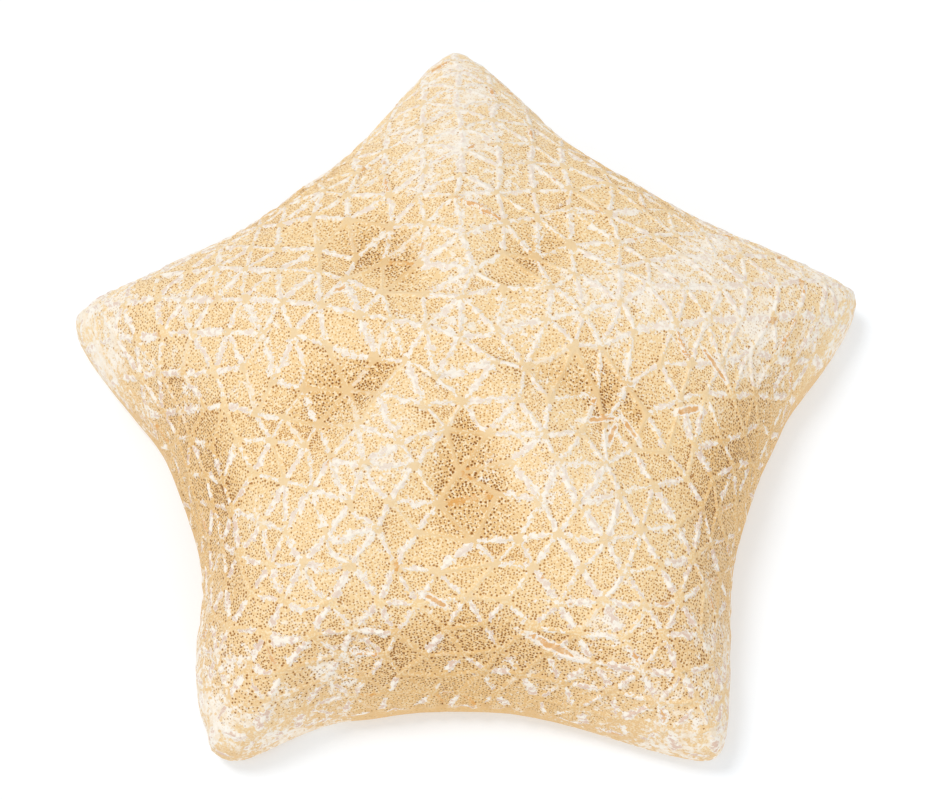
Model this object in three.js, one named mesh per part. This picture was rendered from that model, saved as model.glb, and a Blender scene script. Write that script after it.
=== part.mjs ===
// Dried starfish: one domed five-armed body with a flat underside.
// Lengths are in millimetres, angles in degrees, +Z is up and Z = 0 is the surface it rests on.
import * as THREE from 'three';
import { mergeVertices } from 'three/addons/utils/BufferGeometryUtils.js';

// The five arms, listed anticlockwise from above: heading of each arm and its reach from the disc centre.
const ARMS = [
  { heading: 20.0, reach: 88.0 },
  { heading: 91.7, reach: 88.7 },
  { heading: 163.7, reach: 86.6 },
  { heading: 233.6, reach: 87.8 },
  { heading: 305.0, reach: 87.6 },
];

// Radius at the middle of the bay that follows each arm.
const BAY_RADII = [64.6, 63.3, 61.6, 61.5, 61.3];

// Dents and swellings of the rim: heading, half width in degrees, and how far the rim stands out there.
const RIM_DENTS = [
  { heading: 4, width: 5, out: -0.9 },
  { heading: 23.5, width: 3, out: -0.9 },
  { heading: 158, width: 3, out: -0.8 },
  { heading: 183, width: 6, out: -0.7 },
  { heading: 223, width: 5, out: 1.2 },
  { heading: 232, width: 2.5, out: -1.5 },
  { heading: 237.9, width: 3, out: 2 },
  { heading: 246.5, width: 5, out: -1.5 },
];

// How quickly an arm narrows into its bays, how blunt its tip is, and how broad its back is.
const ARM_TAPER = 2.35;
const TIP_BLUNTNESS = 0.035;
const BACK_BLUNTNESS = 0.22;

// The dome.
const DOME_HEIGHT = 51.8;
const DOME_ROUNDNESS_CENTRE = 2;
const DOME_ROUNDNESS_ARM = 1.6;
const DOME_ROUNDNESS_BAY = 2.17;

// Height of the widest line of the body, and how far the wall tucks in below it.
const GIRTH_HEIGHT_TIP = 7.6;
const GIRTH_HEIGHT_BAY = 6.4;
const TUCK_TIP = 2.5;
const TUCK_BAY = 5;

// Shallow hollows in the skin between the arms.
const HOLLOW_DEPTH = 2.5;
const HOLLOW_CENTRE = 0.48;
const HOLLOW_SPREAD = 0.24;

// The underside: lifted arm ends, five feet grooves and the mouth.
const TIP_LIFT = 1.8;
const TIP_LIFT_START = 0.72;
const GROOVE_HALF_WIDTH = 3.2;
const GROOVE_DEPTH = 3.4;
const GROOVE_START = 4;
const GROOVE_END = 0.93;
const MOUTH_RADIUS = 6.5;
const MOUTH_DEPTH = 4.5;

// Facets.
const COLUMNS_PER_WEDGE = 22;
const COLUMN_CLUSTERING = 0.74;
const DOME_ROWS = 13;
const WALL_ROWS = 3;
const UNDERSIDE_STOPS = [0, 0.045, 0.085, 0.13, 0.3, 0.5, 0.7, 0.85, 0.94];

const clamp01 = (value) => Math.min(1, Math.max(0, value));
const mix = (from, to, amount) => from + (to - from) * amount;

function smoothStep(low, high, value) {
  const t = clamp01((value - low) / (high - low));
  return t * t * (3 - 2 * t);
}

// Heading at a fraction of one wedge, which runs from an arm to the next.
function headingAt(wedge, fraction) {
  const next = wedge + 1 < ARMS.length ? ARMS[wedge + 1].heading : ARMS[0].heading + 360;
  return mix(ARMS[wedge].heading, next, fraction);
}

// How far the rim stands out at a heading.
function rimDent(heading) {
  return RIM_DENTS.reduce((sum, dent) => {
    const off = THREE.MathUtils.euclideanModulo(heading - dent.heading + 180, 360) - 180;
    return sum + dent.out * Math.exp(-((off / dent.width) ** 2));
  }, 0);
}

// Outline radius at a fraction of one wedge, with two measures that run from 1 on an arm to 0 in mid bay:
// pointed follows the outline, rounded follows the swell of the dome. Inside the rim the arms are broader.
function outlineAt(wedge, fraction, spread) {
  const fromArm = Math.min(fraction, 1 - fraction);
  const bluntness = mix(BACK_BLUNTNESS, TIP_BLUNTNESS, smoothStep(0.5, 1, spread));
  const blunted = Math.hypot(fromArm, bluntness) - bluntness;
  const bluntedAtBay = Math.hypot(0.5, bluntness) - bluntness;
  const pointed = clamp01(1 - blunted / bluntedAtBay) ** ARM_TAPER;
  const rounded = Math.cos(Math.PI * fraction) ** 2;
  const arm = fraction < 0.5 ? ARMS[wedge] : ARMS[(wedge + 1) % ARMS.length];
  const dent = rimDent(headingAt(wedge, fraction)) * smoothStep(0.6, 1, spread);
  return { radius: mix(BAY_RADII[wedge], arm.reach, pointed) + dent, pointed, rounded };
}

// Height of the upper surface at a fraction of the outline radius.
function domeHeight(spread, rounded) {
  const rim = mix(DOME_ROUNDNESS_BAY, DOME_ROUNDNESS_ARM, rounded);
  const power = mix(DOME_ROUNDNESS_CENTRE, rim, smoothStep(0.1, 0.75, spread));
  const girth = mix(GIRTH_HEIGHT_BAY, GIRTH_HEIGHT_TIP, rounded);
  const rise = Math.max(0, 1 - spread ** power) ** (1 / power);
  const hollow = smoothStep(0, 0.2, spread) * Math.exp(-(((spread - HOLLOW_CENTRE) / HOLLOW_SPREAD) ** 2));
  return girth + (DOME_HEIGHT - girth) * rise - HOLLOW_DEPTH * hollow * (1 - rounded);
}

// Height of the underside at a fraction of the foot radius and a distance from the arm's midline.
function undersideHeight(spread, radius, offAxis, pointed) {
  const lift = TIP_LIFT * pointed * smoothStep(TIP_LIFT_START, 1, spread);
  const halfWidth = GROOVE_HALF_WIDTH * mix(1, 0.5, spread);
  const across = 1 - smoothStep(0.35 * halfWidth, halfWidth, offAxis);
  const along = smoothStep(0, GROOVE_START, radius) * (1 - smoothStep(GROOVE_END - 0.1, GROOVE_END, spread));
  const mouth = MOUTH_DEPTH * (1 - smoothStep(0.4 * MOUTH_RADIUS, MOUTH_RADIUS, radius));
  return lift + Math.max(GROOVE_DEPTH * across * along, mouth);
}

// One point of the body for a row of the section and a column round the axis.
function bodyPoint(row, column) {
  const wedge = Math.floor(column / COLUMNS_PER_WEDGE) % ARMS.length;
  const even = (column % COLUMNS_PER_WEDGE) / COLUMNS_PER_WEDGE;
  const fraction = even - (COLUMN_CLUSTERING / (2 * Math.PI)) * Math.sin(2 * Math.PI * even);
  const heading = THREE.MathUtils.degToRad(headingAt(wedge, fraction));
  const arm = THREE.MathUtils.degToRad(headingAt(wedge, Math.round(fraction)));
  const offArm = Math.abs(heading - arm);

  const wallStart = UNDERSIDE_STOPS.length;
  const domeStart = wallStart + WALL_ROWS;
  const climb = Math.max(0, row - domeStart) / DOME_ROWS;
  const spread = climb === 1 ? 0 : Math.cos(climb * (Math.PI / 2));
  const { radius, pointed, rounded } = outlineAt(wedge, fraction, spread);
  const girth = mix(GIRTH_HEIGHT_BAY, GIRTH_HEIGHT_TIP, rounded);
  const tuck = mix(TUCK_BAY, TUCK_TIP, pointed);
  const foot = radius - tuck;

  let distance = radius * spread;
  let height = domeHeight(spread, rounded);
  if (row < wallStart) {
    distance = foot * UNDERSIDE_STOPS[row];
    height = undersideHeight(UNDERSIDE_STOPS[row], distance, distance * Math.sin(offArm), pointed);
  } else if (row < domeStart) {
    const turn = ((row - wallStart) / WALL_ROWS) * (Math.PI / 2);
    const lift = TIP_LIFT * pointed;
    distance = foot + tuck * Math.sin(turn);
    height = girth - (girth - lift) * Math.cos(turn);
  }
  return new THREE.Vector3(distance * Math.cos(heading), distance * Math.sin(heading), height);
}

// A round section turned about the axis, then reshaped into the star.
function starBody() {
  const rows = UNDERSIDE_STOPS.length + WALL_ROWS + DOME_ROWS + 1;
  const columns = ARMS.length * COLUMNS_PER_WEDGE;
  const section = [];
  for (let row = 0; row < rows; row += 1) {
    const turn = (row / (rows - 1)) * Math.PI;
    section.push(new THREE.Vector2(Math.sin(turn), -Math.cos(turn)));
  }
  const turned = new THREE.LatheGeometry(section, columns);
  const position = turned.getAttribute('position');
  for (let index = 0; index < position.count; index += 1) {
    const point = bodyPoint(index % rows, Math.floor(index / rows) % columns);
    position.setXYZ(index, point.x, point.y, point.z);
  }
  turned.deleteAttribute('normal');
  turned.deleteAttribute('uv');
  const body = mergeVertices(turned, 0.001);
  body.computeBoundingBox();
  const middle = body.boundingBox.getCenter(new THREE.Vector3());
  body.translate(-middle.x, -middle.y, 0);
  body.computeVertexNormals();
  return body;
}

const driedSkin = new THREE.MeshStandardMaterial({ color: 0xebd2ac, roughness: 0.86, metalness: 0 });

const starfish = new THREE.Mesh(starBody(), driedSkin);
starfish.name = 'starfish';

const part = new THREE.Group();
part.name = 'dried_starfish';
part.add(starfish);

export default part;
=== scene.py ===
"""Dried cushion starfish: a domed star with a net of worn ridges, pored fields and a plated underside."""

import math

import bmesh
import bpy
import numpy as np
from mathutils import Matrix, Vector, noise


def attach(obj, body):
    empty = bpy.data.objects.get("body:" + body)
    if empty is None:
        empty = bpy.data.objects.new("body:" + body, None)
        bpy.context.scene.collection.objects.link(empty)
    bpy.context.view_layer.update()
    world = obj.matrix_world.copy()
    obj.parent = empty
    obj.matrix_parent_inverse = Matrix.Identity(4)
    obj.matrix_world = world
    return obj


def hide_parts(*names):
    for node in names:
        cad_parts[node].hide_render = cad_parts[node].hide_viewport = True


bl_info = {
    "name": "Dried Starfish",
    "version": (1, 0, 0),
    "blender": (4, 5, 0),
    "location": "View3D > Sidebar > Starfish",
    "description": "Builds a dried cushion starfish and its studio",
    "category": "Add Mesh",
}

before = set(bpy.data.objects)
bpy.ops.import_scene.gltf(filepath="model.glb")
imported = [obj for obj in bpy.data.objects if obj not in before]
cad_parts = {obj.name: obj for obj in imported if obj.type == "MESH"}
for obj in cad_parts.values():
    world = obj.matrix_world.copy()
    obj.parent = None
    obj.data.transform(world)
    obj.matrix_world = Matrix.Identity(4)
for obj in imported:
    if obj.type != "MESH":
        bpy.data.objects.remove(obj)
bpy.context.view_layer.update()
BODY_NODE = "starfish"

MM = 0.001
ARM_COUNT = 5
WEDGE = math.tau / ARM_COUNT
FIRST_ARM = math.radians(18)
PHOTO_WIDTH = 929
PHOTO_HEIGHT = 800

# A length too small to divide by, the slack of a comparison, and a distance beyond all others.
TINY = 1e-9
SLACK = 1e-6
FAR = 9.0

# The flat net of the underside lies one step below the back's, so anything under this level belongs to it.
UNDER_LEVEL = -0.5

# Heights of a ridge's shoulder and foot, as parts of its crest.
RIDGE_LEVELS = (0.7, 0.0)

# Limits on a pore's stray: tries, each half as far, and the least part of a facet that stays.
STRAY_TRIES = 3
LEAST_FACET = 0.4

# Rounds of smoothing for folded facets, and how nearly a facet has to face the way its neighbours do.
FOLD_ROUNDS = 6
FOLD_LIMIT = 0.2

# Gap that is closed at the seam between wall and underside, and how near the nets' rims its vertices lie.
SEAM_GAP = 0.05 * MM
SEAM_REACH = 1e-4

# Factors that scramble a pair of plates into an even chance.
SCRAMBLE = (12.9898, 78.233, 37.719)
SCRAMBLE_SIZE = 43758.5453

# Shine of the dried skin, and a half height for marks that reach right through the body, in mm.
SKIN_SHINE = 0.3
ANY_HEIGHT = 1000.0
WHITE = (1.0, 1.0, 1.0, 1.0)

# How far the flat net is carried past its rim for the wall, for each ring of the wall.
WALL_STEP = 0.02
WALL_RINGS = 6

# Face layers that keep the three or four plates at the corners of each field.
PLATE_CORNERS = ("first", "second", "third", "fourth")

# Kinds of pores: in a facet's poked middle, and at its corners.
POKED_PORE = 1.0
CORNER_PORE = 2.0

# Maps of the pores: the kind that each one holds, and the order in which it takes a facet's corners.
PORE_MAPS = {
    "pore": (POKED_PORE, 1),
    "pore_left": (CORNER_PORE, 1),
    "pore_right": (CORNER_PORE, -1),
}

# Amber marks: place from the disc centre, half length and half width in mm, and turn in degrees.
AMBER_MARKS = (
    (-25.5, 13.0, 1.3, 0.5, 30),
    (-6.5, -49.2, 2.0, 0.4, -25),
    (17.3, -56.5, 4.5, 0.45, -20),
    (25.8, -14.7, 2.7, 0.42, 15),
    (28.7, -17.3, 2.1, 0.42, 70),
    (32.5, -15.8, 2.5, 0.42, -55),
    (44.3, -9.4, 2.1, 0.6, 27),
    (50.1, 1.3, 3.0, 0.4, -47),
)

# Deep holes, painted as dark shade spots: place from the disc centre and radius, in mm.
HOLES = (
    (32.9, 20.0, 41.9, 0.5),
    (58.9, -14.1, 15.5, 0.8),
    (56.1, -21.2, 17.7, 0.7),
)


def number_prop(name, description, value, **kind):
    """A number property."""
    return bpy.props.FloatProperty(name=name, description=description, default=value, **kind)


def length_prop(name, description, metres):
    """A length property."""
    return number_prop(name, description, metres, unit="LENGTH")


def angle_prop(name, description, degrees):
    """An angle property."""
    return number_prop(name, description, math.radians(degrees), subtype="ANGLE")


def count_prop(name, description, value, least=0):
    """A whole number property."""
    return bpy.props.IntProperty(name=name, description=description, default=value, min=least)


def numbers_prop(name, description, values, **kind):
    """A property with a few numbers, such as one for each arm."""
    return bpy.props.FloatVectorProperty(
        name=name, description=description, size=len(values), default=values, **kind
    )


def colour_prop(name, description, shade):
    """A colour property, given as a picked screen colour."""
    channels = [int(shade[at : at + 2], 16) / 255 for at in (0, 2, 4)]
    return numbers_prop(name, description, channels, min=0.0, max=1.0, subtype="COLOR_GAMMA")


class StarfishBody(bpy.types.PropertyGroup):
    """Sizes of the whole body, the same as those of the solid part."""

    arm_headings: numbers_prop(
        "Arm headings",
        "Direction of each arm, anticlockwise from the right-hand one",
        [math.radians(heading) for heading in (20.0, 91.7, 163.7, 233.6, 305.0)],
        unit="ROTATION",
    )
    arm_reaches: numbers_prop(
        "Arm reaches",
        "Distance from the disc centre to each arm tip",
        (0.0880, 0.0887, 0.0866, 0.0878, 0.0876),
        unit="LENGTH",
    )
    bay_radii: numbers_prop(
        "Bay radii",
        "Radius in the middle of the bay that follows each arm",
        (0.0646, 0.0633, 0.0616, 0.0615, 0.0613),
        unit="LENGTH",
    )
    arm_taper: number_prop("Arm taper", "How quickly an arm narrows into its bays", 2.35)
    tip_bluntness: number_prop("Tip bluntness", "Rounding of the arm tips in the outline", 0.035)
    back_bluntness: number_prop("Back bluntness", "Breadth of the arms' backs inside the rim", 0.22)
    dome_height: length_prop("Dome height", "Height of the disc centre", 0.0518)
    girth_tip: length_prop("Girth at tips", "Height of the widest line at an arm tip", 0.0076)
    girth_bay: length_prop("Girth in bays", "Height of the widest line in mid bay", 0.0064)
    tuck_tip: length_prop("Tuck at tips", "How far the wall tucks in below a tip", 0.0025)
    tuck_bay: length_prop("Tuck in bays", "How far the wall tucks in below a bay", 0.005)
    hollow_depth: length_prop("Hollow depth", "Sag of the skin between the arms", 0.0025)
    tip_lift: length_prop("Tip lift", "How far the arm ends rise off the surface", 0.0018)
    lip: length_prop("Lip", "How far the lip below the bays stands out from the back", 0.0008)
    groove_half_width: length_prop("Groove half width", "Half width of a feet groove at the mouth", 0.0032)
    groove_depth: length_prop("Groove depth", "Depth of the feet grooves", 0.0034)
    mouth_radius: length_prop("Mouth radius", "Radius of the mouth hollow", 0.0065)
    mouth_depth: length_prop("Mouth depth", "Depth of the mouth hollow", 0.0045)


class StarfishNet(bpy.types.PropertyGroup):
    """Sizes of the net of ridges, the fields between them and their pores."""

    rows: count_prop("Rows", "Plates from the disc centre to an arm tip", 13, 4)
    crowding: number_prop("Crowding", "How much closer the plates lie toward the rim", 0.02)
    wander: number_prop("Wander", "How far a plate strays, as a part of the row spacing", 0.23)
    ridge_half_width: number_prop("Ridge half width", "As a part of the row spacing", 0.06)
    ridge_height: length_prop("Ridge height", "Height of a ridge over the fields", 0.0003)
    lost_ridges: number_prop(
        "Lost ridges", "Chance that a ridge away from the disc has sunk", 0.3, subtype="FACTOR"
    )
    ridge_cuts: count_prop("Ridge cuts", "Lengthwise cuts in each ridge", 4, 1)
    pore_cuts: count_prop("Pore cuts", "Cuts along each side of a field, which set its pores", 5, 2)
    fine_reach: number_prop("Fine reach", "Part of the way to the rim that has all its pores", 0.78)
    pore_stray: number_prop("Pore stray", "How far a pore strays, as a part of the row spacing", 0.032)
    pore_radius: length_prop("Pore radius", "Radius of an open pore", 0.000235)
    pore_depth: length_prop("Pore depth", "Depth of an open pore", 0.00007)
    seed: count_prop("Seed", "Seed of all chance differences", 11)


class StarfishColours(bpy.types.PropertyGroup):
    """Colours of the dried skin and of its wear, some of them partly painted shade and highlight."""

    field: colour_prop("Field", "Pored skin between the ridges", "F4D095")
    # Deeper field colour: stain, and partly painted shade on the lower flanks and wall.
    field_deep: colour_prop("Deep field", "Deeper stains of the pored skin", "E6B976")
    skin: colour_prop("Skin", "Smooth honey skin in the hollows", "EBC68E")
    ridge: colour_prop("Ridge", "Smooth skin over ridges and plates", "F0D2A2")
    # Pale granule tops, partly their own colour and partly painted highlight; also the colour of painted
    # glints on amber.
    granule: colour_prop("Granule", "Pale granules between the pores", "FFF0CE")
    pale: colour_prop("Pale", "Faded skin on the arms' backs", "FAEDD6")
    # Pore insides: a brown lining, darkened further as painted shade of the pit.
    pore: colour_prop("Pore", "Inside of a pore", "BF7B28")
    pore_deep: colour_prop("Deep pore", "Inside of a pore in the hollows", "935914")
    chalk: colour_prop("Chalk", "Worn limy surface", "FDF6EA")
    core: colour_prop("Core", "Cut heart of a worn ridge", "DDB9A2")
    amber: colour_prop("Amber", "Glassy slivers in broken ridges", "E2A24C")
    # The lip's orange: its own skin, deepened in part as painted shade at the foot of the wall.
    lip: colour_prop("Lip", "Orange skin at the foot of the wall", "E6BA7A")
    # Painted shade inside deep holes.
    hole: colour_prop("Hole", "Inside of deep holes", "5A3A1E")
    under: colour_prop("Underside", "Plated underside", "E2C397")


class StarfishStage(bpy.types.PropertyGroup):
    """Camera, lights and floor."""

    camera_tilt: angle_prop("Camera tilt", "Angle of the view above the floor", 66)
    camera_distance: length_prop("Camera distance", "From the lens to the disc centre's foot", 0.762)
    pixel_size: number_prop("Pixel size", "Real size of one picture pixel at that distance", 0.0002118)
    centre_pixel: numbers_prop(
        "Centre pixel", "Where the disc centre's foot lies in the picture", (467.5, 441.6)
    )
    key_power: number_prop("Key power", "Strength of the main soft light", 1.12)
    fill_power: number_prop("Fill power", "Strength of the low light from in front", 0.4)
    light_spread: angle_prop("Light spread", "Angle over which each of the two lights is spread", 18)
    sky_strength: number_prop("Sky strength", "Strength of the even studio light", 0.67)


def smooth(low, high, value):
    """Eases from 0 at low to 1 at high."""
    part = np.clip((value - low) / (high - low), 0.0, 1.0)
    return part * part * (3 - 2 * part)


def mix(start, end, amount):
    """Blends two values."""
    return start + (end - start) * amount


def arm_share(part):
    """From 1 on an arm to 0 in mid bay, for a part of a wedge."""
    return np.cos(np.pi * part) ** 2


def nearest_arm(wedge, part):
    """The arm that a part of a wedge lies nearest to."""
    return np.where(part < 0.5, wedge, (wedge + 1) % ARM_COUNT)


class StarShape:
    """The body's formula: places on the flat five-sided net become places on the star."""

    dome_centre = 2.0
    dome_arm = 1.6
    dome_bay = 2.17
    hollow_place = 0.48
    hollow_spread = 0.24
    groove_start = 0.004
    groove_fade = (0.83, 0.93)
    lift_start = 0.72
    samples = 48
    rim_steps = 361
    # Dents and swellings of the rim: heading and half width in degrees, and reach outwards in mm.
    dents = (
        (4, 5, -0.9),
        (23.5, 3, -0.9),
        (158, 3, -0.8),
        (183, 6, -0.7),
        (223, 5, 1.2),
        (232, 2.5, -1.5),
        (237.9, 3, 2),
        (246.5, 5, -1.5),
    )

    def __init__(self, body, net):
        self.body = body
        self.crowding = net.crowding
        self.headings = np.array(body.arm_headings)
        self.next_headings = np.append(self.headings[1:], self.headings[0] + math.tau)
        self.reaches = np.array(body.arm_reaches)
        self.bays = np.array(body.bay_radii)
        self.centre = np.zeros(2)
        self.centre = -self.outline_middle()

    def outline(self, wedge, part, spread):
        """Outline radius, with the pointed and the rounded closeness to an arm."""
        body = self.body
        off_arm = np.minimum(part, 1 - part)
        blunt = mix(body.back_bluntness, body.tip_bluntness, smooth(0.5, 1.0, spread))
        off = (np.hypot(off_arm, blunt) - blunt) / (np.hypot(0.5, blunt) - blunt)
        pointed = np.clip(1 - off, 0.0, 1.0) ** body.arm_taper
        rounded = arm_share(part)
        nearest = nearest_arm(wedge, part)
        radius = mix(self.bays[wedge], self.reaches[nearest], pointed)
        return radius + self.rim_dent(wedge, part) * smooth(0.6, 1.0, spread), pointed, rounded

    def rim_dent(self, wedge, part):
        """How far the rim stands out there."""
        heading = np.degrees(mix(self.headings[wedge], self.next_headings[wedge], part))
        turns = [((heading - place + 180) % 360 - 180) / width for place, width, _ in self.dents]
        return sum(out * MM * np.exp(-(turn**2)) for turn, (_, _, out) in zip(turns, self.dents))

    def outline_middle(self):
        """Middle of the outline's box, measured from the disc centre."""
        part = np.tile(np.linspace(0, 1, self.rim_steps), ARM_COUNT)
        wedge = np.repeat(np.arange(ARM_COUNT), self.rim_steps)
        radius = self.outline(wedge, part, np.ones_like(part))[0]
        heading = mix(self.headings[wedge], self.next_headings[wedge], part)
        rim = np.stack([radius * np.cos(heading), radius * np.sin(heading)], axis=1)
        return (rim.min(axis=0) + rim.max(axis=0)) / 2

    def girth(self, rounded):
        """Height of the widest line."""
        return mix(self.body.girth_bay, self.body.girth_tip, rounded)

    def dome(self, spread, rounded):
        """Height of the back at a part of the outline radius."""
        rim = mix(self.dome_bay, self.dome_arm, rounded)
        power = mix(self.dome_centre, rim, smooth(0.1, 0.75, spread))
        girth = self.girth(rounded)
        rise = np.maximum(0.0, 1 - spread**power) ** (1 / power)
        off_hollow = (spread - self.hollow_place) / self.hollow_spread
        hollow = smooth(0.0, 0.2, spread) * np.exp(-(off_hollow**2))
        sag = self.body.hollow_depth * hollow * (1 - rounded)
        return girth + (self.body.dome_height - girth) * rise - sag

    def locate(self, flat):
        """Wedge, part of the wedge and part of the way to the rim for places on the flat net."""
        angle = (np.arctan2(flat[:, 1], flat[:, 0]) - FIRST_ARM) % math.tau
        wedge = np.minimum((angle / WEDGE).astype(int), ARM_COUNT - 1)
        local = angle - wedge * WEDGE
        rim = math.cos(WEDGE / 2) / np.cos(local - WEDGE / 2)
        return wedge, local / WEDGE, np.hypot(flat[:, 0], flat[:, 1]) / rim

    def spread_at(self, wedge, part, way):
        """Part of the outline radius at an even part of the way over the back."""
        turn = np.linspace(0, np.pi / 2, self.samples)
        spread = np.broadcast_to(np.sin(turn), (len(way), self.samples))
        radius, _, rounded = self.outline(wedge[:, None], part[:, None], spread)
        out = radius * spread
        high = self.dome(spread, rounded)
        steps = np.hypot(np.diff(out, axis=1), np.diff(high, axis=1))
        run = np.concatenate([np.zeros((len(way), 1)), np.cumsum(steps, axis=1)], axis=1)
        goal = np.clip(way + self.crowding * way * (1 - way), 0.0, 1.0) * run[:, -1]
        after = np.clip((run < goal[:, None]).sum(axis=1), 1, self.samples - 1)
        row = np.arange(len(way))
        low = run[row, after - 1]
        share = (goal - low) / np.maximum(run[row, after] - low, TINY)
        return np.sin(mix(turn[after - 1], turn[after], np.clip(share, 0.0, 1.0)))

    def place_back(self, flat):
        """Places on the back and the wall, and the spread and rounded measures there."""
        wedge, part, way = self.locate(flat)
        spread = self.spread_at(wedge, part, np.minimum(way, 1.0))
        radius, pointed, rounded = self.outline(wedge, part, spread)
        lip = self.body.lip * (1 - pointed)
        distance = radius * spread - lip * smooth(0.8, 1.0, spread)
        height = self.dome(spread, rounded)
        wall = np.clip((way - 1) / (WALL_STEP * WALL_RINGS), 0.0, 1.0)
        tuck = mix(self.body.tuck_bay, self.body.tuck_tip, pointed)
        girth = self.girth(rounded)
        lift = self.body.tip_lift * pointed
        on_wall = way > 1 + SLACK
        wall_distance = radius - lip * (1 - smooth(0.0, 0.5, wall)) - tuck * smooth(0.45, 1.0, wall)
        distance = np.where(on_wall, wall_distance, distance)
        height = np.where(on_wall, mix(girth, lift, wall), height)
        return self.stand(wedge, part, distance, height), spread, rounded

    def place_under(self, flat):
        """Places on the underside, with the distance from the nearest arm's midline."""
        body = self.body
        wedge, part, way = self.locate(flat)
        radius, pointed, _ = self.outline(wedge, part, np.ones_like(way))
        foot = radius - mix(body.tuck_bay, body.tuck_tip, pointed)
        distance = foot * way
        off_arm = np.minimum(part, 1 - part) * WEDGE
        across = distance * np.sin(off_arm)
        half = body.groove_half_width * mix(1.0, 0.5, way)
        groove = (1 - smooth(0.35 * half, half, across)) * smooth(0.0, self.groove_start, distance)
        groove = groove * (1 - smooth(*self.groove_fade, way)) * body.groove_depth
        mouth = body.mouth_depth * (1 - smooth(0.4 * body.mouth_radius, body.mouth_radius, distance))
        lift = body.tip_lift * pointed * smooth(self.lift_start, 1.0, way)
        return self.stand(wedge, part, distance, lift + np.maximum(groove, mouth)), across, half, distance

    def stand(self, wedge, part, distance, height):
        """Turns heading, distance and height into places in the part's frame."""
        heading = mix(self.headings[wedge], self.next_headings[wedge], part)
        across = distance * np.cos(heading) + self.centre[0]
        along = distance * np.sin(heading) + self.centre[1]
        return np.stack([across, along, height], axis=1)


def cross(first, second):
    """Flat cross product."""
    return first[..., 0] * second[..., 1] - first[..., 1] * second[..., 0]


class WearMap:
    """Where the honey skin has stayed and where it has worn down to chalk, with some painted light and
    shade: paler half-way out on the top and right-hand arms, deeper on the lower flanks.
    """

    # Chalk on each arm's back, anticlockwise from the right-hand arm; the high amounts half-way out on the
    # top and right-hand arms are partly painted light.
    chalk_near = np.array((0.68, 0.6, 0.44, 0.55, 0.64))
    chalk_half = np.array((0.72, 0.74, 0.46, 0.42, 0.44))
    chalk_tip = np.array((0.7, 0.7, 0.78, 0.7, 0.66))
    # Skin left in the hollow of the bay that follows each arm.
    skin_left = np.array((0.65, 0.85, 1.0, 1.25, 0.9))
    # How far the lower flanks of each arm, and of the bay that follows it, are weathered and deepened in
    # colour; the high amounts on the lower arms and bays are partly painted shade.
    arm_weather_and_shade = np.array((0.4, 0.1, 0.6, 1.0, 1.0))
    bay_weather_and_shade = np.array((0.3, 0.3, 1.1, 1.0, 1.0))
    # Chalk at the disc centre, the bays' share of an arm's chalk, and where the hollows keep their skin.
    chalk_centre = 0.42
    bay_share = 0.45
    skin_place = 0.43
    skin_spread = 0.21

    def __init__(self, shape):
        self.shape = shape

    def flank(self, flat):
        """Weathering and painted shade of the lower flanks for places on the flat net."""
        wedge, part, way = self.shape.locate(flat)
        arm = nearest_arm(wedge, part)
        amount = mix(self.bay_weather_and_shade[wedge], self.arm_weather_and_shade[arm], arm_share(part))
        return amount * smooth(0.45, 0.8, way)

    def read(self, flat):
        """Chalk and skin amounts for places on the flat net."""
        wedge, part, way = self.shape.locate(flat)
        spread = self.shape.spread_at(wedge, part, np.minimum(way, 1.0))
        arm = nearest_arm(wedge, part)
        rounded = arm_share(part)
        along = mix(self.chalk_near[arm], self.chalk_half[arm], smooth(0.4, 0.65, spread))
        along = mix(along, self.chalk_tip[arm], smooth(0.8, 0.97, spread))
        along = along * mix(self.bay_share, 1.0, rounded**0.8)
        chalk = mix(self.chalk_centre, along, smooth(0.05, 0.3, spread))
        hollow = np.exp(-(((spread - self.skin_place) / self.skin_spread) ** 2)) * (1 - rounded) ** 2
        skin = self.skin_left[wedge] * hollow
        wall = smooth(0.76, 1.0, spread) * (1 - rounded)
        return chalk * (1 - 0.6 * wall), np.clip(skin, 0.0, 1.2), wall


def pair_chance(first, second, salt):
    """An even chance from 0 to 1 for each pair of plates."""
    mixed = np.sin(first * SCRAMBLE[0] + second * SCRAMBLE[1] + salt * SCRAMBLE[2]) * SCRAMBLE_SIZE
    return mixed - np.floor(mixed)


def run_along_arm(shape, first, second):
    """How nearly ridges between pairs of plates run along their arm, away from the disc."""
    wedge, part, way = shape.locate((first + second) / 2)
    heading = FIRST_ARM + np.where(part < 0.5, wedge, wedge + 1) * WEDGE
    run = second - first
    length = np.maximum(np.hypot(run[:, 0], run[:, 1]), TINY)
    straight = np.abs(run[:, 0] * np.cos(heading) + run[:, 1] * np.sin(heading)) / length
    return smooth(0.93, 0.98, straight) * smooth(0.25, 0.5, way)


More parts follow.
